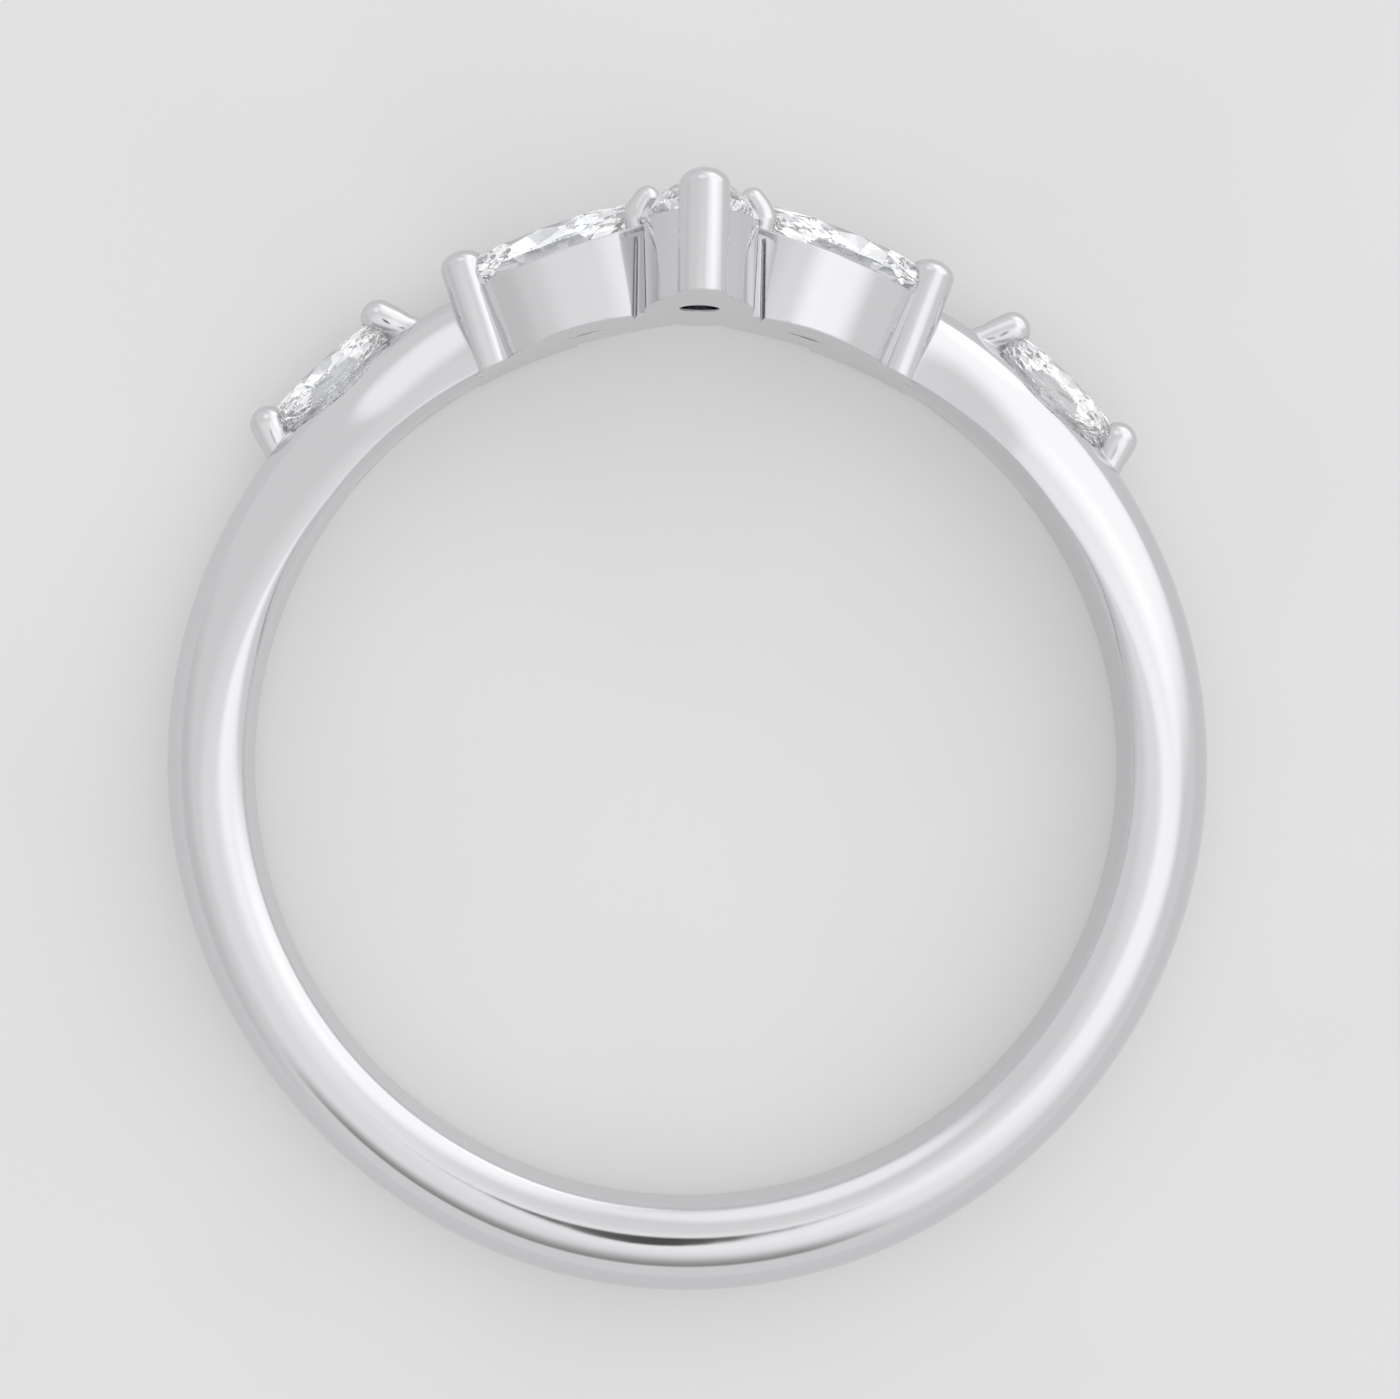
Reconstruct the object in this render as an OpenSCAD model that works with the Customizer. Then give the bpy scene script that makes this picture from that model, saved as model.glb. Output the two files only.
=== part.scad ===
// Shaped wedding band with five marquise-cut stones.
// The bore axis is Z and the head is at +Y, so the ring lies on its side on its -Z rim.
// The origin is on the bore axis, half way across the shank.

/* [Finger hole] */
// Inside diameter of the band
bore_d = 17; // [16:0.1:20]
// Angle at which the finger hole opens out towards the front, under the head
front_ease_a = 0.5; // [0.3:0.1:0.8]
// Height of the rounded inside edges round the back of the finger
comfort_h = 0.6; // [0.3:0.05:0.7]
// How far into the finger hole the arch of those edges would go on
comfort_depth = 0.4; // [0.3:0.05:0.6]
// Angle from the top at which the rounding of the inside edges begins
comfort_from_a = 44; // [35:1:50]
// Angle from the top at which the inside edges are fully rounded
comfort_full_a = 100; // [90:1:120]

/* [Shank] */
// Width of the shank along the finger
shank_w = 2.2; // [2:0.1:2.4]
// Thickness of the shank, half way round
shank_t = 1.6; // [1.5:0.01:1.8]
// Extra thickness of the shank at the back of the finger
shank_extra = 0.12; // [0:0.01:0.2]
// Angle from the top at which the shank meets the head
shank_end_a = 28.2; // [28:0.1:29]
// Angle from the top at which the shank has its full width
shank_full_a = 46; // [40:1:55]
// Narrowing of the front side of the shank where it meets the head
taper_front = 0.3; // [0:0.05:0.4]
// Narrowing of the back side of the shank where it meets the head
taper_back = 0.12; // [0:0.02:0.3]

/* [Head] */
// Place along the finger of the centre stone
centre_z = 2.32; // [2.2:0.02:2.4]
// Height of the centre girdle above the finger
centre_girdle_h = 1.8; // [1.7:0.05:1.9]
// Height of the centre collet above the finger
centre_rim_h = 1.58; // [1.5:0.02:1.65]
// Length of the centre collet's rim
centre_rim_l = 3.9; // [3.8:0.05:4]
// Width of the centre collet's rim
centre_rim_w = 2.16; // [2.1:0.02:2.3]
// Lean of the side settings from the top
side_tilt = 19.2; // [19:0.1:20]
// Place of the side stone along its setting's own line
side_shift = -0.58; // [-0.6:0.02:-0.5]
// Place along the finger of the side stone
side_z = 0.65; // [0.6:0.05:0.7]
// Turn of the side stone, its inner tip towards the front
side_turn = 14; // [13:0.5:15]
// Height of the side girdle above the finger
side_girdle_h = 1.7; // [1.65:0.05:1.75]
// Height of the side collets above the finger
side_rim_h = 1.45; // [1.4:0.02:1.5]
// Length of the side collets' rims
side_rim_l = 4.5; // [4.3:0.05:4.6]
// Width of the side collets' rims
side_rim_w = 2.38; // [2.3:0.02:2.5]
// Reach of the side collets towards the centre, past the middle of their stones
side_rim_shift = -0.27; // [-0.3:0.01:-0.1]
// Height of the rail that carries the side collets from behind
rail_h = 0.8; // [0.6:0.05:0.9]
// Width that every collet wall loses from its rim to its foot
collet_draft = 0.08; // [0:0.02:0.12]
// Diameter of the light hole under the centre stone
light_hole_d = 0.76; // [0.6:0.02:0.9]
// Length of the pointed light slots under the side stones
light_slot_l = 0.84; // [0.7:0.02:1]
// Width of the light slots
light_slot_w = 0.2; // [0.1:0.02:0.4]
// Place of the light slots along their stones
light_slot_shift = -0.13; // [-0.2:0.01:0]

/* [Shoulders] */
// Angle of the shoulder stones from the top
shoulder_a = 43.6; // [43:0.2:45]
// Height of the shoulder girdle above the finger
shoulder_girdle_h = 1.72; // [1.65:0.01:1.8]

/* [Stones] */
// Length of the centre stone and the side stones
stone_l = 4; // [3.8:0.05:4.1]
// Width of the centre stone and the side stones
stone_w = 1.96; // [1.9:0.02:2]
// Length of the shoulder stones
small_l = 3; // [2.9:0.05:3.1]
// Width of the shoulder stones
small_w = 1.5; // [1.4:0.05:1.6]
// Table width as a share of the stone's width
table_share = 0.72; // [0.55:0.01:0.75]
// Table length as a share of the stone's length
table_l_share = 0.82; // [0.6:0.01:0.84]
// Crown height as a share of the stone's width
crown_share = 0.17; // [0.12:0.01:0.18]
// Pavilion depth as a share of the stone's width
pavilion_share = 0.42; // [0.38:0.01:0.45]
// Thickness of the girdle
girdle_t = 0.07; // [0.04:0.01:0.1]
// Gap between a stone and the metal
seat_gap = 0.03; // [0.02:0.01:0.05]

/* [Hidden] */
metal = "silver";
diamond = "aliceblue";
$fn = 96;

bore_r = bore_d / 2;
reach_z = 8;

// What the bore cuts starts this far inside it: the shank, and the feet of the head
inset = 0.08;
foot_inset = 0.7;
shank_steps = 96;
arch_steps = 12;
court_steps = 6;

// The bars are round wires with domed tops, square to the finger or leaning with their
// setting. The columns are: the place across the setting, the place along the finger, the
// lean from the top, the diameter and the height of the top above the finger.
X = 0; Z = 1; LEAN = 2; D = 3; TOP = 4;
centre_bar_reach = 1.67;
centre_bars = [for (end = [-1, 1]) [0, centre_z + end * centre_bar_reach, 0, 0.93, 2.32]];
side_bars = [[1.15, 0.52, side_tilt, 0.86, 2.27]];

// Each shared prong widens upwards between two stones and bends in over the centre one
shared_at = [1.2, 1.47];
shared_foot_h = 0.8;
shared_foot_d = 0.24;
shared_d = 0.58;
shared_bend_h = 2.02;
shared_tip = [0.86, 2.24];
shared_tip_d = 0.42;

// The claws lean over the shoulder stones. The columns are: the angle from the top, the
// further lean, the diameter and the length above the shank.
CLAW_A = 0; CLAW_LEAN = 1; CLAW_D = 2; CLAW_L = 3;
claws = [
    [34, 36, 0.7, 0.9],
    [53.2, -30, 0.72, 0.8],
];

// Back edge of the rail behind the side collets, by its angle from the top. Its front edge
// is straight and hidden in the collet.
RAIL_A = 0; RAIL_Z = 1;
rail_front = 0.15;
rail = [
    [15.5, -0.72],
    [18, -0.88],
    [21, -0.93],
    [25, -0.95],
    [29.5, -0.98],
];

// Radius of each of the two arcs whose overlap is a marquise outline
function arc_r(len, wid) = (len * len + wid * wid) / (4 * wid);

// Point k of n around a marquise outline, starting at the +X tip
function outline(k, n, len, wid) =
    let (r = arc_r(len, wid), half = n / 2, j = k % n, up = j <= half,
         a = asin(len / 2 / r) * (1 - 2 * (up ? j : j - half) / half) * (up ? 1 : -1))
    [r * sin(a), (r * cos(a) - (r - wid / 2)) * (up ? 1 : -1)];

function smooth(t) = let (u = min(1, max(0, t))) u * u * (3 - 2 * u);
function from_top(a) = min(a, 360 - a);

// Upright solid with a marquise outline, its two arcs grown or shrunk at its foot and top
module marquise(len, wid, low, high, grow_low = 0, grow_high = 0) {
    r = arc_r(len, wid);
    intersection() {
        translate([0, r - wid / 2, low])
            cylinder(h = high - low, r1 = r + grow_low, r2 = r + grow_high);
        translate([0, wid / 2 - r, low])
            cylinder(h = high - low, r1 = r + grow_low, r2 = r + grow_high);
    }
}

// Carries what is drawn upright, about a stone's own middle, to its place in the ring
module set_at(lean, shift, height, along, turn) {
    rotate([0, 0, -lean]) translate([shift, bore_r + height, along])
        rotate([-90, 0, 0]) rotate([0, 0, turn]) children();
}

module at_centre() {
    set_at(0, 0, centre_girdle_h, centre_z, 90) children();
}

module at_right_side() {
    set_at(side_tilt, side_shift, side_girdle_h, side_z, side_turn) children();
}

module at_right_shoulder() {
    set_at(shoulder_a, 0, shoulder_girdle_h, 0, 0) children();
}

// Room for a stone, with the seat gap all round
module stone_room(len, wid) {
    half = girdle_t / 2;
    crown = crown_share * wid;
    pavilion = pavilion_share * wid;
    table_in = (1 - table_share) * wid / 2;
    marquise(len, wid, -half - pavilion - seat_gap, -half, seat_gap - wid / 2, seat_gap);
    marquise(len, wid, -half - seat_gap / 2, half + seat_gap / 2, seat_gap, seat_gap);
    marquise(len, wid, half, half + crown + seat_gap, seat_gap, seat_gap - table_in);
}

// Round wire that stands on its foot and has a domed end
module wire(d, low, high) {
    translate([0, 0, low]) cylinder(h = high - d / 2 - low, d = d);
    translate([0, 0, high - d / 2]) sphere(d = d);
}

// Section points of the shank at an angle from the top: an arch outside the widest line and
// a flatter one inside it, which reaches into the bore so that the bore cuts it to size
function shank_section(a) =
    let (t = smooth((from_top(a) - shank_end_a) / (shank_full_a - shank_end_a)),
         c = smooth((from_top(a) - comfort_from_a) / (comfort_full_a - comfort_from_a)),
         front = shank_w / 2 - taper_front * (1 - t),
         back = shank_w / 2 - taper_back * (1 - t),
         wide = bore_r - inset + (comfort_h + inset) * c,
         low = bore_r - inset - (comfort_depth - inset) * c,
         high = bore_r + shank_t + shank_extra * smooth((from_top(a) - 120) / 60),
         out = [for (k = [0:arch_steps]) 180 * k / arch_steps],
         in = [for (k = [1:court_steps - 1]) 180 + 180 * k / court_steps])
    [for (b = concat(out, in))
        [wide + sin(b) * (b <= 180 ? high - wide : wide - low),
         cos(b) * (cos(b) > 0 ? front : back)]];

module shank() {
    count = arch_steps + court_steps;
    span = 360 - 2 * shank_end_a;
    points = [for (i = [0:shank_steps]) let (a = shank_end_a + span * i / shank_steps)
        for (p = shank_section(a)) [p[0] * sin(a), p[0] * cos(a), p[1]]];
    sides = [for (i = [0:shank_steps - 1], j = [0:count - 1])
        let (k = (j + 1) % count, here = i * count, next = here + count)
        each [[here + j, next + k, next + j], [here + j, here + k, next + k]]];
    last = shank_steps * count;
    crest = arch_steps / 2;
    polyhedron(points = points, faces = concat(sides,
        [[for (j = [count:-1:1]) (crest + j) % count]],
        [[for (j = [0:count - 1]) last + (crest + j) % count]]));
}

// Plain rail under and behind a side collet, in flat steps along its table
module rail() {
    top = bore_r + rail_h;
    points = [for (row = rail) let (a = row[RAIL_A])
        for (p = [[bore_r - inset, row[RAIL_Z]], [top, row[RAIL_Z]], [top, rail_front],
                  [bore_r - inset, rail_front]])
            [p[0] * sin(a), p[0] * cos(a), p[1]]];
    last = len(points) - 4;
    polyhedron(points = points, faces = concat(
        [for (i = [0:4:last - 4], j = [0:3])
            let (k = (j + 1) % 4) each [[i + j, i + 4 + j, i + 4 + k], [i + j, i + 4 + k, i + k]]],
        [[0, 1, 2, 3]], [[last + 3, last + 2, last + 1, last]]));
}

module collet(len, wid, foot, rim) {
    marquise(len, wid, foot, rim, -collet_draft, 0);
}

module bars(table) {
    for (b = table)
        rotate([0, 0, -b[LEAN]]) translate([b[X], bore_r, b[Z]]) rotate([-90, 0, 0])
            wire(b[D], -foot_inset, b[TOP]);
}

module shared_prong() {
    bend = bore_r + shared_bend_h;
    run = [shared_tip[0] - shared_at[0], shared_tip[1] - shared_bend_h];
    translate([shared_at[0], bore_r + shared_foot_h, shared_at[1]]) rotate([-90, 0, 0])
        cylinder(h = shared_bend_h - shared_foot_h, d1 = shared_foot_d, d2 = shared_d);
    translate([shared_at[0], bend, shared_at[1]]) {
        sphere(d = shared_d);
        rotate([0, 0, atan2(-run[0], run[1])]) rotate([-90, 0, 0])
            cylinder(h = norm(run), d1 = shared_d, d2 = shared_tip_d);
        translate([run[0], run[1], 0]) sphere(d = shared_tip_d);
    }
}

module shoulder_claws() {
    for (c = claws)
        rotate([0, 0, -c[CLAW_A]]) translate([0, bore_r + shank_t, 0])
            rotate([0, 0, -c[CLAW_LEAN]]) rotate([-90, 0, 0])
                wire(c[CLAW_D], -shank_t / 2, c[CLAW_L]);
}

module right_half_of_head() {
    at_right_side() translate([side_rim_shift, 0, 0])
        collet(side_rim_l, side_rim_w, -side_girdle_h - foot_inset, side_rim_h - side_girdle_h);
    rail();
    bars(side_bars);
    shared_prong();
    shoulder_claws();
}

// The light hole and the light slots go from the bore up into the rooms of the stones
module light_hole() {
    translate([0, 0, -centre_girdle_h - foot_inset])
        cylinder(h = centre_girdle_h + foot_inset - stone_w / 4, d = light_hole_d);
}

module light_slot() {
    translate([light_slot_shift, 0, 0])
        marquise(light_slot_l, light_slot_w, -side_girdle_h - foot_inset, -stone_w / 4);
}

module right_rooms() {
    at_right_side() {
        stone_room(stone_l, stone_w);
        light_slot();
    }
    at_right_shoulder() stone_room(small_l, small_w);
}

// Straight across the shank, and opening out a little from there to the front of the head
module finger_hole() {
    land = shank_w / 2;
    run = reach_z - land;
    translate([0, 0, -reach_z]) cylinder(h = reach_z + land, r = bore_r, $fn = 256);
    translate([0, 0, land])
        cylinder(h = run, r1 = bore_r, r2 = bore_r + run * tan(front_ease_a), $fn = 256);
}

module band() {
    color(metal) difference() {
        union() {
            shank();
            at_centre() collet(centre_rim_l, centre_rim_w, -centre_girdle_h - foot_inset,
                               centre_rim_h - centre_girdle_h);
            bars(centre_bars);
            right_half_of_head();
            mirror([1, 0, 0]) right_half_of_head();
        }
        finger_hole();
        at_centre() {
            stone_room(stone_l, stone_w);
            light_hole();
        }
        right_rooms();
        mirror([1, 0, 0]) right_rooms();
    }
}

// Marquise brilliant about its girdle's middle, table up. The table has 8 sides and the
// girdle 16. Between them are star, bezel and upper girdle facets, and below them lower
// girdle facets and mains that meet at the culet.
module stone(len, wid) {
    crown = crown_share * wid;
    pavilion = pavilion_share * wid;
    half = girdle_t / 2;
    star_h = 0.55;
    low_in = 0.3;
    low_depth = 0.75;
    function ring(n, l_share, w_share, z, shift) =
        [for (k = [0:n - 1]) let (p = outline(k * 16 / n + shift, 16, len, wid))
            [p[0] * l_share, p[1] * w_share, z]];
    points = concat(
        ring(8, table_l_share, table_share, half + crown, 0),
        ring(8, (1 + table_l_share) / 2, (1 + table_share) / 2, half + crown * star_h, 1),
        ring(16, 1, 1, half, 0),
        ring(16, 1, 1, -half, 0),
        ring(8, low_in, low_in, -half - pavilion * low_depth, 1),
        [[0, 0, -half - pavilion]]);
    mid = 8; top = 16; bot = 32; low = 48; culet = 56;
    faces = concat(
        [[for (k = [7:-1:0]) k]],
        [for (k = [0:7]) let (n = (k + 1) % 8, p = (k + 7) % 8, g = 2 * k, h = (g + 2) % 16)
            each [
                [k, n, mid + k],
                [k, mid + k, top + g], [k, top + g, mid + p],
                [mid + k, top + g + 1, top + g], [mid + k, top + h, top + g + 1],
                [low + k, bot + g, bot + g + 1], [low + k, bot + g + 1, bot + h],
                [culet, bot + g, low + k], [culet, low + p, bot + g]
            ]],
        [for (k = [0:15]) let (n = (k + 1) % 16)
            each [[top + k, top + n, bot + n], [top + k, bot + n, bot + k]]]);
    color(diamond) polyhedron(points = points, faces = faces);
}

module centre_stone() { at_centre() stone(stone_l, stone_w); }
module right_side_stone() { at_right_side() stone(stone_l, stone_w); }
module left_side_stone() { mirror([1, 0, 0]) right_side_stone(); }
module right_shoulder_stone() { at_right_shoulder() stone(small_l, small_w); }
module left_shoulder_stone() { mirror([1, 0, 0]) right_shoulder_stone(); }

band();
centre_stone();
left_side_stone();
right_side_stone();
left_shoulder_stone();
right_shoulder_stone();
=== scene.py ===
import math

import bmesh
import bpy
from mathutils import Matrix, Vector


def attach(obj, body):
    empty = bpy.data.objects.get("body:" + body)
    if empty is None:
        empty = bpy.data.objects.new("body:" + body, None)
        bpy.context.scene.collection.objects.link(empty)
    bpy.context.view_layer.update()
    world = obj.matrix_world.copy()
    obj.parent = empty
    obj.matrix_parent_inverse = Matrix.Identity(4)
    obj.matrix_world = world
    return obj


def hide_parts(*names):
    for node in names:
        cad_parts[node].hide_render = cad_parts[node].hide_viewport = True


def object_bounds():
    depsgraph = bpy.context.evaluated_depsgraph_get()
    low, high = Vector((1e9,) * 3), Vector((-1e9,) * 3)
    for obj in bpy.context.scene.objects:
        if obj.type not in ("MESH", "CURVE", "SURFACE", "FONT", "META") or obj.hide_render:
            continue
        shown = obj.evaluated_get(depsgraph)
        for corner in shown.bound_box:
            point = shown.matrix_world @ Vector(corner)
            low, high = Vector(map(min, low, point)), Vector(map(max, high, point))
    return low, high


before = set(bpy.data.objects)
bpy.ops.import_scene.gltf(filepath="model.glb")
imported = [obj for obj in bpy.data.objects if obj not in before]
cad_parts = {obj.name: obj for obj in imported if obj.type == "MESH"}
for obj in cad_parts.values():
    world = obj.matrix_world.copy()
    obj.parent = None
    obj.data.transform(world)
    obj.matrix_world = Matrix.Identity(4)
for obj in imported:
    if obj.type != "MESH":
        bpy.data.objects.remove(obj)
cad_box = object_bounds()

# The shank is the plain part of the hoop, cast with the head and polished as one with it. Its
# section is a court shape: an arch outside, and inside edges that arch in to a straight land
# against the finger. The inside arch dies away towards the head, where the edge is crisp.

# Lengths are in millimetres, and angles along the hoop are in degrees from its top.
MM = 0.001
FINGER_R = 8.5
SHANK_HALF_W = 1.1
SHANK_R = 10.1
SHANK_BACK_EXTRA = 0.12
BACK_FROM, BACK_FULL = 120, 180
SHANK_END = 28.2
SHANK_FULL = 46
TAPER_FRONT, TAPER_BACK = 0.3, 0.12
COMFORT_H, COMFORT_DEPTH = 0.6, 0.4
COMFORT_FROM, COMFORT_FULL = 44, 100
EDGE_ROUND, EDGE_ROUND_BACK = 0.04, 0.16
SHANK_STEPS = 320
OUTER_STEPS, INNER_STEPS, EDGE_STEPS = 24, 14, 6
HALVINGS = 40


def smooth_step(t):
    u = min(1, max(0, t))
    return u * u * (3 - 2 * u)


def on_ring(angle, r, z):
    """The point at this angle from the top, this far from the finger's axis."""
    return Vector((r * math.sin(angle), r * math.cos(angle), z))


def arch(tilt, reach, height):
    """The point of an elliptical arch where it faces this far from straight up."""
    size = math.hypot(reach * math.sin(tilt), height * math.cos(tilt))
    return reach * reach * math.sin(tilt) / size, height * height * math.cos(tilt) / size


def half_section(wide, outer, inner, height, edge):
    """One side of the section, from the outside of the hoop to the land against the finger.

    The corner is how far the inside arch turns before the edge's small rounding takes over.
    """
    right_angle = math.pi / 2
    low, high = 0.0, right_angle
    for _ in range(HALVINGS):
        corner = (low + high) / 2
        gap = wide - arch(corner, inner, height)[0] + edge * math.sin(corner) - FINGER_R - edge
        low, high = (corner, high) if gap > 0 else (low, corner)
    rows = [(wide + x, z) for x, z in (arch(right_angle * (1 - i / OUTER_STEPS), outer, height)
                                       for i in range(OUTER_STEPS + 1))]
    rows += [(wide - x, z) for x, z in (arch(corner * i / INNER_STEPS, inner, height)
                                        for i in range(1, INNER_STEPS + 1))]
    middle = (rows[-1][0] + edge * math.sin(corner), rows[-1][1] - edge * math.cos(corner))
    bends = [corner + (right_angle - corner) * i / EDGE_STEPS for i in range(1, EDGE_STEPS + 1)]
    return rows + [(middle[0] - edge * math.sin(t), middle[1] + edge * math.cos(t)) for t in bends]


def shank_section(degrees):
    top = min(degrees, 360 - degrees)
    full = smooth_step((top - SHANK_END) / (SHANK_FULL - SHANK_END))
    comfort = smooth_step((top - COMFORT_FROM) / (COMFORT_FULL - COMFORT_FROM))
    edge = EDGE_ROUND + (EDGE_ROUND_BACK - EDGE_ROUND) * comfort
    wide = FINGER_R + max(edge, COMFORT_H * comfort)
    inner = max(edge, (COMFORT_H + COMFORT_DEPTH) * comfort)
    back_share = smooth_step((top - BACK_FROM) / (BACK_FULL - BACK_FROM))
    outer = SHANK_R + SHANK_BACK_EXTRA * back_share - wide
    front = half_section(wide, outer, inner, SHANK_HALF_W - TAPER_FRONT * (1 - full), edge)
    back = half_section(wide, outer, inner, SHANK_HALF_W - TAPER_BACK * (1 - full), edge)
    return [on_ring(math.radians(degrees), r, z)
            for r, z in front + [(r, -z) for r, z in reversed(back[1:])]]


def mesh_from(points, faces):
    mesh = bpy.data.meshes.new("rough")
    mesh.from_pydata(points, [], faces)
    b = bmesh.new()
    b.from_mesh(mesh)
    bmesh.ops.recalc_face_normals(b, faces=b.faces)
    b.to_mesh(mesh)
    b.free()
    return mesh


def loft(rings):
    """A closed solid through rings of equally many points, capped at both ends."""
    n = len(rings[0])
    faces = [tuple(reversed(range(n))), tuple(range(len(rings) * n - n, len(rings) * n))]
    for i in range(len(rings) - 1):
        faces += [(i * n + j, i * n + (j + 1) % n, (i + 1) * n + (j + 1) % n, (i + 1) * n + j)
                  for j in range(n)]
    return mesh_from([p for ring in rings for p in ring], faces)


def part(name, mesh, place=Matrix.Identity(4)):
    mesh.transform(place)
    obj = bpy.data.objects.new(name, mesh)
    bpy.context.scene.collection.objects.link(obj)
    return obj


sweep = 360 - 2 * SHANK_END
shank = part("shank", loft([shank_section(SHANK_END + sweep * i / SHANK_STEPS)
                            for i in range(SHANK_STEPS + 1)]))

# The collets are the plain walls that carry the front three stones. Each has a marquise outline
# and leans in a little towards its foot, and its foot is filed to the curve of the finger hole.
CENTRE_Z, CENTRE_GIRDLE, CENTRE_RIM = 2.32, 1.8, 1.58
CENTRE_RIM_L, CENTRE_RIM_W = 3.9, 2.16
SIDE_LEAN, SIDE_TURN, SIDE_SHIFT, SIDE_Z = 19.2, 14, -0.58, 0.65
SIDE_GIRDLE, SIDE_RIM = 1.7, 1.45
SIDE_RIM_L, SIDE_RIM_W, SIDE_RIM_SHIFT = 4.5, 2.38, -0.27
COLLET_DRAFT = 0.08
FOOT_INSET = 0.7
ARC_STEPS = 64
FLIP = Matrix.Scale(-1, 4, Vector((1, 0, 0)))
STAND = Matrix.Rotation(math.radians(-90), 4, "X")


def marquise_outline(length, width, grow=0.0):
    """Two equal arcs that meet at both tips. grow moves both arcs out."""
    radius = (length * length + width * width) / (4 * width)
    off = radius - width / 2
    radius += grow
    spread = math.acos(off / radius)
    arc = [spread * (1 - 2 * i / ARC_STEPS) for i in range(ARC_STEPS)]
    upper = [(radius * math.sin(a), radius * math.cos(a) - off) for a in arc]
    return upper + [(-x, -y) for x, y in upper]


def marquise(length, width, low, high, grow_low=0.0, grow_high=0.0):
    return loft([[Vector((x, y, z)) for x, y in marquise_outline(length, width, grow)]
                 for z, grow in ((low, grow_low), (high, grow_high))])


def seat(lean, shift, height, along, turn):
    """Carries what is drawn upright, about a stone's own middle, to its place in the ring."""
    return (Matrix.Rotation(math.radians(-lean), 4, "Z")
            @ Matrix.Translation((shift, FINGER_R + height, along)) @ STAND
            @ Matrix.Rotation(math.radians(turn), 4, "Z"))


AT_CENTRE = seat(0, 0, CENTRE_GIRDLE, CENTRE_Z, 90)
AT_RIGHT_SIDE = seat(SIDE_LEAN, SIDE_SHIFT, SIDE_GIRDLE, SIDE_Z, SIDE_TURN)
head = [part("centre_collet", marquise(CENTRE_RIM_L, CENTRE_RIM_W, -CENTRE_GIRDLE - FOOT_INSET,
                                       CENTRE_RIM - CENTRE_GIRDLE, -COLLET_DRAFT), AT_CENTRE)]
halves = [part("side_collet", marquise(SIDE_RIM_L, SIDE_RIM_W, -SIDE_GIRDLE - FOOT_INSET,
                                       SIDE_RIM - SIDE_GIRDLE, -COLLET_DRAFT),
               AT_RIGHT_SIDE @ Matrix.Translation((SIDE_RIM_SHIFT, 0, 0)))]

# A low rail runs behind each side collet, so that the back edge of the ring goes on smoothly
# from the shank to the centre and sits flush against the engagement ring beside it.
# Each row is an angle along the hoop and where the back edge stands there.
RAIL_EDGE = ((15.5, -0.72), (18, -0.88), (21, -0.93), (25, -0.95), (29.5, -0.98))
RAIL_H, RAIL_FRONT, RAIL_ROUND, RAIL_SINK = 0.8, 0.15, 0.1, 0.08
CORNER_STEPS = 6


def rail_section(degrees, back):
    top, low, c = FINGER_R + RAIL_H, FINGER_R - RAIL_SINK, RAIL_ROUND
    corner = [(top - c + c * math.sin(t), back + c - c * math.cos(t))
              for t in (math.pi / 2 * i / CORNER_STEPS for i in range(CORNER_STEPS + 1))]
    return [on_ring(math.radians(degrees), r, z)
            for r, z in [(low, back), *corner, (top, RAIL_FRONT), (low, RAIL_FRONT)]]


halves.append(part("rail", loft([rail_section(a, z) for a, z in RAIL_EDGE])))

# Round bars stand at the ends of the front settings, and their domed tops come in over the
# stones' tips. They are wire, soldered to the collets and rounded with a cup burr.
BAR_D, BAR_REACH, BAR_TOP = 0.93, 1.67, 2.32
SIDE_BAR_D, SIDE_BAR_X, SIDE_BAR_Z, SIDE_BAR_TOP = 0.86, 1.15, 0.52, 2.27
BAR_DOME = 0.7
ROUND_STEPS = 72
DOME_STEPS, DOME_END = 16, 0.99


def wire(path, radii, high=1):
    """A round wire along a path. The dome at its end stands this many of its radii high."""
    end = path[-1]
    way = (end - path[-2]).normalized() * high
    dome = [math.pi / 2 * (i + 1) / DOME_STEPS * DOME_END for i in range(DOME_STEPS)]
    path = path + [end + way * radii[-1] * math.sin(t) for t in dome]
    radii = radii + [radii[-1] * math.cos(t) for t in dome]
    rings = []
    for i, (p, r) in enumerate(zip(path, radii)):
        step = path[min(i + 1, len(path) - 1)] - path[max(i - 1, 0)]
        side = step.cross(Vector((0, 0, 1))).normalized()
        rings.append([p + side * r * math.cos(math.tau * j / ROUND_STEPS)
                      + Vector((0, 0, r * math.sin(math.tau * j / ROUND_STEPS)))
                      for j in range(ROUND_STEPS)])
    return loft(rings)


def bar(lean, x, z, d, top):
    neck = FINGER_R + top - BAR_DOME * d / 2
    post = wire([Vector((x, FINGER_R - FOOT_INSET, z)), Vector((x, neck, z))], [d / 2, d / 2],
                BAR_DOME)
    return part("bar", post, Matrix.Rotation(math.radians(-lean), 4, "Z"))


head += [bar(0, 0, CENTRE_Z + end * BAR_REACH, BAR_D, BAR_TOP) for end in (-1, 1)]
halves.append(bar(SIDE_LEAN, SIDE_BAR_X, SIDE_BAR_Z, SIDE_BAR_D, SIDE_BAR_TOP))

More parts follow.
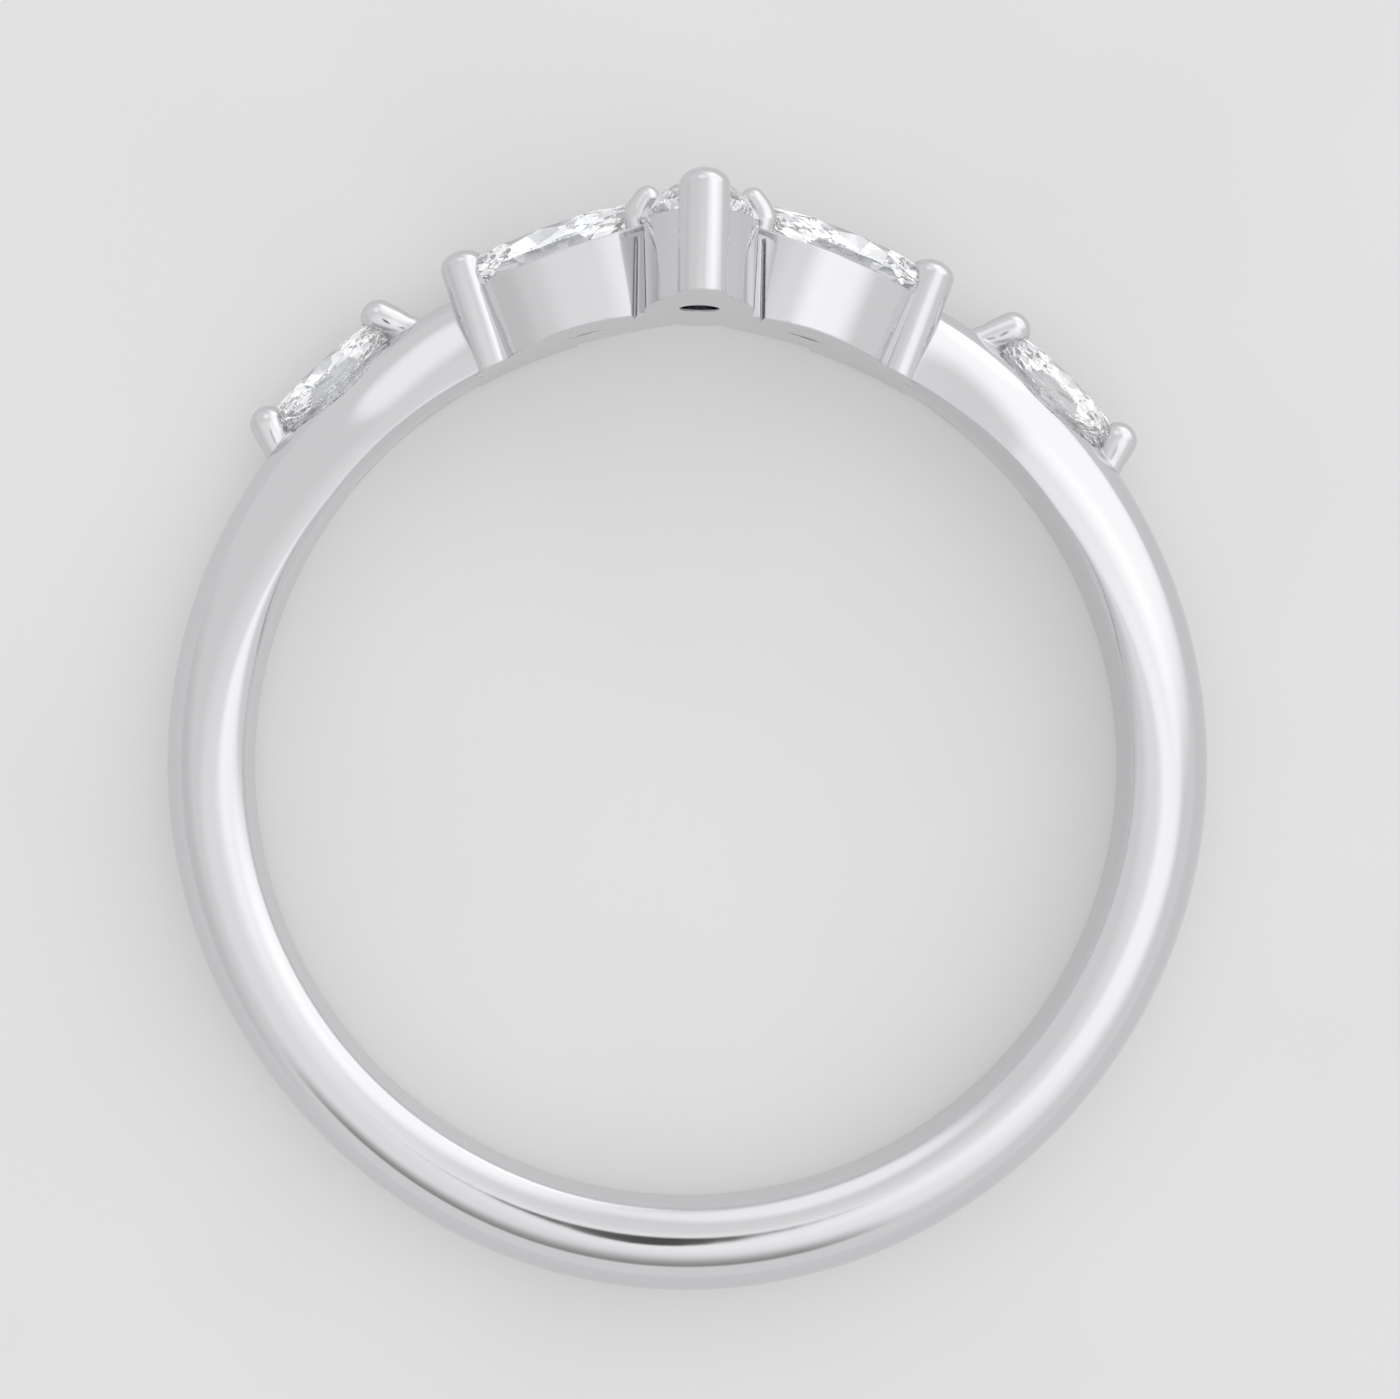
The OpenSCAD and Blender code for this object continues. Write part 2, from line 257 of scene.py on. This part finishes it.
# A shared prong stands in each angle between two collets. It widens upwards and its tip is
# pushed in over the shoulder of the centre stone.
PRONG_X, PRONG_Z, PRONG_FOOT, PRONG_BEND = 1.18, 1.5, 1.15, 1.98
PRONG_TIP_X, PRONG_TIP_H = 1.0, 2.2
PRONG_FOOT_R, PRONG_R, PRONG_TIP_R = 0.07, 0.28, 0.25
PRONG_STRAIGHT = 0.78
BEND_STEPS = 10
foot = Vector((PRONG_X, FINGER_R + PRONG_FOOT, PRONG_Z))
bend = Vector((PRONG_X, FINGER_R + PRONG_BEND, PRONG_Z))
tip = Vector((PRONG_TIP_X, FINGER_R + PRONG_TIP_H, PRONG_Z))
low = foot.lerp(bend, PRONG_STRAIGHT)
curve = [low * (1 - t) ** 2 + bend * 2 * t * (1 - t) + tip * t * t
         for t in (i / BEND_STEPS for i in range(BEND_STEPS + 1))]
swell = [PRONG_R + (PRONG_TIP_R - PRONG_R) * smooth_step(i / BEND_STEPS)
         for i in range(BEND_STEPS + 1)]
halves.append(part("shared_prong", wire([foot] + curve, [PRONG_FOOT_R] + swell)))

# Between a side collet and the centre collet the front stays open as a gap with a V section,
# where a saw and then a knife-edge file went in. It ends below the prong.
SPLIT = ((1.08, 2.6), (1.2, 1.4), (1.32, 2.6))
SPLIT_TOP = 1.42
split = part("split", loft([[Vector((x, y, z)) for x, z in SPLIT]
                            for y in (FINGER_R - FOOT_INSET, FINGER_R + SPLIT_TOP)]))

# Two claws stand on each shoulder and lean in over the tips of its small stone. They are
# thinner at the foot and rounded off into a bead. Each row is where a claw stands along the
# hoop, how far it leans, the radii of its foot and its bead, and its length.
CLAWS = ((34, 36, 0.28, 0.36, 0.9), (53.2, -30, 0.3, 0.37, 0.8))
CLAW_SINK, CLAW_SWELL = 0.8, 0.35


def claw(angle, lean, foot_r, bead_r, length):
    start = on_ring(math.radians(angle), SHANK_R, 0)
    way = on_ring(math.radians(angle + lean), 1, 0)
    reach = [-CLAW_SINK, 0.0, CLAW_SWELL * (length - bead_r), length - bead_r]
    radii = [foot_r, foot_r, (foot_r + bead_r) / 2, bead_r]
    return part("claw", wire([start + way * s for s in reach], radii))


halves += [claw(*row) for row in CLAWS]

# Every stone sits in a room of its own shape, burred a hair larger than the stone, and under
# each collet a light hole is drilled up from the finger hole. The finger hole is straight
# across the shank and opens out by half a degree in front of it, under the head.
STONE_L, STONE_W = 4.0, 1.96
SMALL_L, SMALL_W = 3.0, 1.5
CROWN_SHARE, PAVILION_SHARE, GIRDLE = 0.17, 0.42, 0.07
ROOM_TABLE, ROOM_POINT = 0.76, 0.98
SEAT_GAP = 0.03
LIGHT_TOP = -STONE_W / 4
LIGHT_HOLE_R = 0.38
LIGHT_SLOT_L, LIGHT_SLOT_W, LIGHT_SLOT_SHIFT = 0.84, 0.2, -0.13
HOLE_BACK, HOLE_FRONT = -3, 6
FRONT_EASE = math.tan(math.radians(0.5))
SHOULDER_A, SHOULDER_GIRDLE = 43.6, 1.72
AT_RIGHT_SHOULDER = seat(SHOULDER_A, 0, SHOULDER_GIRDLE, 0, 0)
HOLE_STEPS = 720
CREASE = 30


def drum(rows, steps):
    """A round solid through rows of radius and height."""
    turns = [math.tau * i / steps for i in range(steps)]
    return loft([[Vector((r * math.cos(t), r * math.sin(t), z)) for t in turns] for r, z in rows])


def room(place, length, width):
    half, gap = GIRDLE / 2, SEAT_GAP
    crown, pavilion = CROWN_SHARE * width, PAVILION_SHARE * width
    shapes = [
        marquise(length, width, -half - pavilion - gap, -half, gap - width / 2 * ROOM_POINT, gap),
        marquise(length, width, -half - gap / 2, half + gap / 2, gap, gap),
        marquise(length, width, half, half + crown + gap, gap,
                 gap - (1 - ROOM_TABLE) * width / 2),
    ]
    return [part("room", s, place) for s in shapes]


def mirrored(obj):
    mesh = obj.data.copy()
    mesh.transform(FLIP)
    mesh.flip_normals()
    return part(obj.name, mesh)


def combined(base, tools, how):
    """base with each tool joined to it or cut from it, as one closed solid."""
    for tool in tools:
        step = base.modifiers.new(how, "BOOLEAN")
        step.operation, step.solver, step.object = how, "MANIFOLD", tool
    bpy.context.view_layer.update()
    done = base.evaluated_get(bpy.context.evaluated_depsgraph_get())
    mesh = bpy.data.meshes.new_from_object(done)
    name = base.name
    for used in (base, *tools):
        bpy.data.objects.remove(used)
    return part(name, mesh)


head += halves + [mirrored(obj) for obj in halves]
head = combined(head[0], head[1:], "UNION")
hole = drum([(FINGER_R, HOLE_BACK), (FINGER_R, SHANK_HALF_W),
             (FINGER_R + (HOLE_FRONT - SHANK_HALF_W) * FRONT_EASE, HOLE_FRONT)], HOLE_STEPS)
head = combined(head, [part("finger_hole", hole)], "DIFFERENCE")
band = combined(shank, [head], "UNION")
light_hole = drum([(LIGHT_HOLE_R, -CENTRE_GIRDLE - FOOT_INSET), (LIGHT_HOLE_R, LIGHT_TOP)],
                  ROUND_STEPS)
light_slot = marquise(LIGHT_SLOT_L, LIGHT_SLOT_W, -SIDE_GIRDLE - FOOT_INSET, LIGHT_TOP)
rooms = room(AT_CENTRE, STONE_L, STONE_W) + [part("light_hole", light_hole, AT_CENTRE)]
right = (room(AT_RIGHT_SIDE, STONE_L, STONE_W) + room(AT_RIGHT_SHOULDER, SMALL_L, SMALL_W)
         + [part("light_slot", light_slot,
                 AT_RIGHT_SIDE @ Matrix.Translation((LIGHT_SLOT_SHIFT, 0, 0))), split])
band = combined(band, rooms + right + [mirrored(obj) for obj in right], "DIFFERENCE")
band.name = "polished_band"
band.data.transform(Matrix.Scale(MM, 4))
for p in band.data.polygons:
    p.use_smooth = True
band.data.set_sharp_from_angle(angle=math.radians(CREASE))

# All the metal is 18 carat white gold, polished on a mop and rhodium plated. To the eye it is a
# near white mirror that a hair of haze softens, with the slight unevenness of hand polishing
# and fine hairlines. The real hairlines are 0.01 mm wide, too fine to show, so here they are
# 0.04 mm wide.
UNEVEN, UNEVEN_DEEP = 1.6, 0.004
HAIRLINE, HAIRLINE_DEEP = 0.04, 0.0002
HAIRLINE_TURN, HAIRLINE_STRETCH = (0.5, 0.3, 0.7), (0.06, 1, 1)
HAZE = (0.05, 0.09)
EDGE_SOFT = 0.06


def linear(hex_value):
    """The linear colour of an sRGB hex value."""
    channels = [int(hex_value[i:i + 2], 16) / 255 for i in (1, 3, 5)]
    return [c / 12.92 if c <= 0.04045 else ((c + 0.055) / 1.055) ** 2.4 for c in channels] + [1]


def add(tree, kind, links={}, **settings):
    """Adds a node. Settings name its options or its inputs, and links name inputs too."""
    made = tree.nodes.new(kind)
    for name, value in settings.items():
        if hasattr(made, name):
            setattr(made, name, value)
        else:
            made.inputs[name.replace("_", " ")].default_value = value
    for name, source in links.items():
        tree.links.new(source, made.inputs[name])
    return made


def new_material(name):
    made = bpy.data.materials.new(name)
    made.use_nodes = True
    return made, made.node_tree, made.node_tree.nodes["Principled BSDF"]


def mottle(tree, shader, size, one, other):
    """A base colour that drifts between two hex values over spots of this size, in mm."""
    where = add(tree, "ShaderNodeTexCoord")
    spots = add(tree, "ShaderNodeTexNoise", {"Vector": where.outputs["Object"]},
                Scale=1000 / size, Detail=2.0)
    ramp = add(tree, "ShaderNodeValToRGB", {"Fac": spots.outputs["Fac"]})
    for stop, at, hex_value in zip(ramp.color_ramp.elements, (0.35, 0.65), (one, other)):
        stop.position, stop.color = at, linear(hex_value)
    tree.links.new(ramp.outputs["Color"], shader.inputs["Base Color"])


white_gold, tree, shader = new_material("polished white gold")
shader.inputs["Base Color"].default_value = linear("#D9D9DB")
shader.inputs["Metallic"].default_value = 1
spot = add(tree, "ShaderNodeTexCoord")
uneven = add(tree, "ShaderNodeTexNoise", {"Vector": spot.outputs["Object"]},
             Scale=1000 / UNEVEN, Detail=2.0)
along = add(tree, "ShaderNodeMapping", {"Vector": spot.outputs["Object"]},
            Rotation=HAIRLINE_TURN, Scale=HAIRLINE_STRETCH)
hairs = add(tree, "ShaderNodeTexNoise", {"Vector": along.outputs[0]},
            Scale=1000 / (2 * HAIRLINE), Detail=1.0)
haze = add(tree, "ShaderNodeMapRange", {"Value": uneven.outputs["Fac"]},
           From_Min=0.3, From_Max=0.7, To_Min=HAZE[0], To_Max=HAZE[1])
edges = add(tree, "ShaderNodeBevel", samples=4, Radius=EDGE_SOFT * MM)
soft = add(tree, "ShaderNodeBump", {"Height": uneven.outputs["Fac"], "Normal": edges.outputs[0]},
           Strength=1.0, Distance=UNEVEN_DEEP * MM)
fine = add(tree, "ShaderNodeBump", {"Height": hairs.outputs["Fac"], "Normal": soft.outputs[0]},
           Strength=1.0, Distance=HAIRLINE_DEEP * MM)
tree.links.new(haze.outputs[0], shader.inputs["Roughness"])
tree.links.new(fine.outputs[0], shader.inputs["Normal"])
band.data.materials.clear()
band.data.materials.append(white_gold)
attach(band, "root")
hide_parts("band")

# The five stones are marquise brilliants, cut and polished. Each has a table, 8 stars, 8 mains
# and 16 halves on its crown, and 16 halves and 8 mains that meet at the culet below. It sits
# loose in its room and the tips of the bars, prongs and claws hold it down.
# A star's tip falls this share of the crown, and a lower half reaches down this share of the
# pavilion. The table is so long and so wide as a share of the stone.
STAR_FALL, HALF_FALL = 0.4, 0.78
TABLE_L, TABLE_W, CENTRE_TABLE_W = 0.8, 0.62, 0.66
GIRDLE_STEPS = 4


def girdle_spot(turn, length, width):
    """The outline's point and outward way at this eighth of a turn from the +X tip."""
    radius = (length * length + width * width) / (4 * width)
    upper = turn % 8 <= 4
    a = math.asin(length / 2 / radius) * (1 - turn % 8 / 2 if upper else turn % 8 / 2 - 3)
    side = 1 if upper else -1
    at = Vector((radius * math.sin(a), side * (radius * math.cos(a) - radius + width / 2)))
    way = Vector((math.sin(a), side * math.cos(a)))
    return at, Vector((math.copysign(1, at.x), 0)) if turn % 4 == 0 else way


def meeting(one, other):
    """Where two lines in the girdle's plane meet, each given by its way out and its distance."""
    (a, p), (b, q) = one, other
    det = a.x * b.y - a.y * b.x
    return Vector(((p * b.y - q * a.y) / det, (a.x * q - b.x * p) / det))


def brilliant(length, width, table_w):
    half, crown, pavilion = GIRDLE / 2, CROWN_SHARE * width, PAVILION_SHARE * width
    tips = [girdle_spot(k, length, width) for k in range(8)]
    table = [Vector((g.x * TABLE_L, g.y * table_w)) for g, way in tips]
    star_at = 1 - STAR_FALL
    points, faces = [], []

    def point(flat, z):
        points.append(Vector((flat.x, flat.y, z)))
        return len(points) - 1

    top = [point(t, half + crown) for t in table]
    stars, lows = [], []
    for k in range(8):
        pair = [tips[k], tips[(k + 1) % 8]]
        rims = [table[k], table[(k + 1) % 8]]
        crown_lines = [(way, g.dot(way) - (g - t).dot(way) * star_at)
                       for (g, way), t in zip(pair, rims)]
        base_lines = [(way, g.dot(way) * (1 - HALF_FALL)) for g, way in pair]
        stars.append(point(meeting(*crown_lines), half + crown * star_at))
        lows.append(point(meeting(*base_lines), -half - pavilion * HALF_FALL))
    culet = point(Vector((0, 0)), -half - pavilion)
    upper, lower = [], []
    count = 8 * 2 * GIRDLE_STEPS
    rim = [girdle_spot(8 * i / count, length, width)[0] for i in range(count)]
    for z, apexes, ring in ((half, stars, upper), (-half, lows, lower)):
        for i in range(16):
            apex = points[apexes[i // 2]]
            a, b = rim[i * GIRDLE_STEPS], rim[(i + 1) * GIRDLE_STEPS % count]
            a3, b3 = Vector((a.x, a.y, z)), Vector((b.x, b.y, z))
            out = (b3 - a3).cross(apex - a3)
            for j in range(GIRDLE_STEPS):
                q = rim[i * GIRDLE_STEPS + j]
                drop = ((q.x - a.x) * out.x + (q.y - a.y) * out.y) / out.z
                ring.append(point(q, z - drop))
    faces.append(top)
    for k in range(8):
        before, after = (k + 7) % 8, (k + 1) % 8
        g = 2 * k * GIRDLE_STEPS
        faces += [[top[k], stars[before], upper[g], stars[k]], [top[k], stars[k], top[after]],
                  [culet, lows[before], lower[g], lows[k]]]
        for h in range(2):
            run = [(g + h * GIRDLE_STEPS + j) % count for j in range(GIRDLE_STEPS + 1)]
            faces += [[stars[k]] + [upper[r] for r in run], [lows[k]] + [lower[r] for r in run]]
    faces += [[upper[i], upper[(i + 1) % count], lower[(i + 1) % count], lower[i]]
              for i in range(count)]
    return mesh_from(points, faces)


# The stones are diamond: clear and free of haze, with an IOR of 2.42 and a tint that is hardly
# there. To the eye the facets break the tent into white and grey flashes. A trace of glow
# stands for the light that goes round inside for longer than the bounces that are counted.
diamond, tree, shader = new_material("diamond")
mottle(tree, shader, 1.5, "#FFFFFF", "#F8FAFD")
shader.inputs["Transmission Weight"].default_value = 1
shader.inputs["Roughness"].default_value = 0
shader.inputs["IOR"].default_value = 2.42
shader.inputs["Emission Color"].default_value = linear("#FFFFFF")
shader.inputs["Emission Strength"].default_value = 0.02

# Each row is where a stone sits, its length and width, and its table's share of the width.
STONES = {
    "centre": (AT_CENTRE, STONE_L, STONE_W, CENTRE_TABLE_W),
    "right_side": (AT_RIGHT_SIDE, STONE_L, STONE_W, TABLE_W),
    "left_side": (FLIP @ AT_RIGHT_SIDE, STONE_L, STONE_W, TABLE_W),
    "right_shoulder": (AT_RIGHT_SHOULDER, SMALL_L, SMALL_W, TABLE_W),
    "left_shoulder": (FLIP @ AT_RIGHT_SHOULDER, SMALL_L, SMALL_W, TABLE_W),
}
for name, (place, *cut) in STONES.items():
    stone = part(name + "_marquise", brilliant(*cut), Matrix.Scale(MM, 4) @ place)
    if place.determinant() < 0:
        stone.data.flip_normals()
    stone.data.materials.append(diamond)
    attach(stone, "root")
    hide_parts(name + "_stone")

# The ring lies on its side on a sheet of matt opal acrylic, far larger than the ring and lit
# softly from below, which keeps the ring's own shadow light.
FLOOR_HALF = 0.6
floor_z = cad_box[0][2]
corners = [Vector((x * FLOOR_HALF, y * FLOOR_HALF, floor_z))
           for x, y in ((-1, -1), (1, -1), (1, 1), (-1, 1))]
floor = part("floor", mesh_from(corners, [(0, 1, 2, 3)]))
opal, tree, shader = new_material("opal acrylic")
mottle(tree, shader, 8, "#BBBBBC", "#BEBEBF")
shader.inputs["Roughness"].default_value = 0.9
shader.inputs["Emission Color"].default_value = linear("#FFFFFF")
shader.inputs["Emission Strength"].default_value = 0.25
floor.data.materials.append(opal)

# The light is a white tent with soft boxes behind it and one grey flag. Each row is the way to
# a box, by the angle from +X and the angle up, then the half widths where it is full and where
# it has faded, and its strength over the tent's own. The flag's is below it.
TENT = 0.84
BOXES = (
    (44, 26, 16, 42, 0.51),
    (2, 58, 10, 32, 0.20),
    (75, 4, 10, 26, 0.34),
    (325, 58, 10, 38, 0.24),
    (105, 42, 8, 22, 0.32),
    (225, 68, 8, 35, 0.15),
    (60, 75, 4, 26, 0.07),
    (192, -8, 20, 44, -0.13),
)


def way_to(around, up):
    a, e = math.radians(around), math.radians(up)
    return (math.cos(a) * math.cos(e), math.sin(a) * math.cos(e), math.sin(e))


world = bpy.data.worlds.new("tent")
bpy.context.scene.world = world
world.use_nodes = True
tree = world.node_tree
look = add(tree, "ShaderNodeTexCoord").outputs["Generated"]
light = add(tree, "ShaderNodeValue")
light.outputs[0].default_value = TENT
light = light.outputs[0]
for around, up, full, fading, strength in BOXES:
    facing = add(tree, "ShaderNodeVectorMath", {0: look}, operation="DOT_PRODUCT")
    facing.inputs[1].default_value = way_to(around, up)
    box = add(tree, "ShaderNodeMapRange", {"Value": facing.outputs["Value"]},
              interpolation_type="SMOOTHSTEP", From_Min=math.cos(math.radians(fading)),
              From_Max=math.cos(math.radians(full)), To_Min=0.0, To_Max=strength)
    light = add(tree, "ShaderNodeMath", {0: light, 1: box.outputs[0]},
                operation="ADD").outputs[0]

# The tent has a slit above the ring, where the lens looks in, and a dark fold across its side.
# The polished shank shows them as a grey lens and as a thin dark line.
SLIT_AT, SLIT_HALF, SLIT_TURN = (0.016, -0.2), (0.045, 0.16), -4
SLIT_EDGE, SLIT_LIGHT = (0.85, 1.1), 0.08
slit = add(tree, "ShaderNodeMapping", {"Vector": look}, vector_type="TEXTURE",
           Location=(*SLIT_AT, 0), Rotation=(0, 0, math.radians(SLIT_TURN)),
           Scale=(*SLIT_HALF, 1e6))
far = add(tree, "ShaderNodeVectorMath", {0: slit.outputs[0]}, operation="LENGTH")
shut = add(tree, "ShaderNodeMapRange", {"Value": far.outputs["Value"]},
           interpolation_type="SMOOTHSTEP", From_Min=SLIT_EDGE[0], From_Max=SLIT_EDGE[1],
           To_Min=SLIT_LIGHT, To_Max=1.0)
light = add(tree, "ShaderNodeMath", {0: light, 1: shut.outputs[0]},
            operation="MULTIPLY").outputs[0]
FOLD_AROUND, FOLD_UP, FOLD_TOP, FOLD_DEPTH = 258, 27, 52, 0.6
FOLD_FULL, FOLD_FADED, FOLD_LIP = 26, 42, 3
facing = add(tree, "ShaderNodeVectorMath", {0: look}, operation="DOT_PRODUCT")
facing.inputs[1].default_value = way_to(FOLD_AROUND, 0)
level = add(tree, "ShaderNodeSeparateXYZ", {"Vector": look})
flat_z = add(tree, "ShaderNodeMath", {0: level.outputs["Z"]}, operation="ARCSINE")
cos_z = add(tree, "ShaderNodeMath", {0: flat_z.outputs[0]}, operation="COSINE")
aside = add(tree, "ShaderNodeMath", {0: facing.outputs["Value"], 1: cos_z.outputs[0]},
            operation="DIVIDE")
across = add(tree, "ShaderNodeMapRange", {"Value": aside.outputs[0]},
             interpolation_type="SMOOTHSTEP", From_Min=math.cos(math.radians(FOLD_FADED)),
             From_Max=math.cos(math.radians(FOLD_FULL)), To_Min=0.0, To_Max=FOLD_DEPTH)
above = add(tree, "ShaderNodeMapRange", {"Value": flat_z.outputs[0]},
            interpolation_type="SMOOTHSTEP", From_Min=math.radians(FOLD_UP),
            From_Max=math.radians(FOLD_TOP), To_Min=1.0, To_Max=0.0)
under = add(tree, "ShaderNodeMapRange", {"Value": flat_z.outputs[0]},
            interpolation_type="SMOOTHSTEP", From_Min=math.radians(FOLD_UP - FOLD_LIP),
            From_Max=math.radians(FOLD_UP), To_Min=0.0, To_Max=1.0)
deep = add(tree, "ShaderNodeMath", {0: above.outputs[0], 1: under.outputs[0]},
           operation="MULTIPLY")
deep = add(tree, "ShaderNodeMath", {0: deep.outputs[0], 1: across.outputs[0]},
           operation="MULTIPLY")
keep = add(tree, "ShaderNodeMath", {1: deep.outputs[0]}, operation="SUBTRACT")
keep.inputs[0].default_value = 1.0
light = add(tree, "ShaderNodeMath", {0: light, 1: keep.outputs[0]},
            operation="MULTIPLY").outputs[0]
tree.links.new(light, tree.nodes["Background"].inputs["Strength"])
tree.nodes["Background"].inputs["Color"].default_value = (1, 1, 1, 1)
bpy.context.scene.view_settings.view_transform = "Standard"

# Light goes round many times inside the stones and between the polished walls.
bpy.context.scene.cycles.max_bounces = 24
bpy.context.scene.cycles.transmission_bounces = 24
bpy.context.scene.cycles.glossy_bounces = 12

# The camera looks straight down from 58 mm above the middle of the shank, which is how strong
# the photo's perspective is. A small shift and a small roll give the photo's framing.
FRAME_W, FRAME_H = 1400, 1399
CAMERA_UP = 58 * MM
FOCAL_PX = 2981
ROLL = math.radians(1.1)
VANISH = (596, 762)
MIDDLE = (687, 764)
SENSOR_W = 36
right_way = Vector((math.cos(ROLL), math.sin(ROLL), 0))
up_way = Vector((-math.sin(ROLL), math.cos(ROLL), 0))
aside_px = right_way * (VANISH[0] - MIDDLE[0]) - up_way * (VANISH[1] - MIDDLE[1])
eye = aside_px * CAMERA_UP / FOCAL_PX
camera = bpy.data.objects.new("camera", bpy.data.cameras.new("camera"))
bpy.context.scene.collection.objects.link(camera)
camera.location = (eye.x, eye.y, CAMERA_UP)
camera.rotation_euler = (0, 0, ROLL)
camera.data.sensor_width = SENSOR_W
camera.data.lens = FOCAL_PX * SENSOR_W / FRAME_W
camera.data.shift_x = (FRAME_W / 2 - VANISH[0]) / FRAME_W
camera.data.shift_y = (VANISH[1] - FRAME_H / 2) / FRAME_W
camera.data.clip_start = 5 * MM
camera.data.clip_end = 5
bpy.context.scene.camera = camera
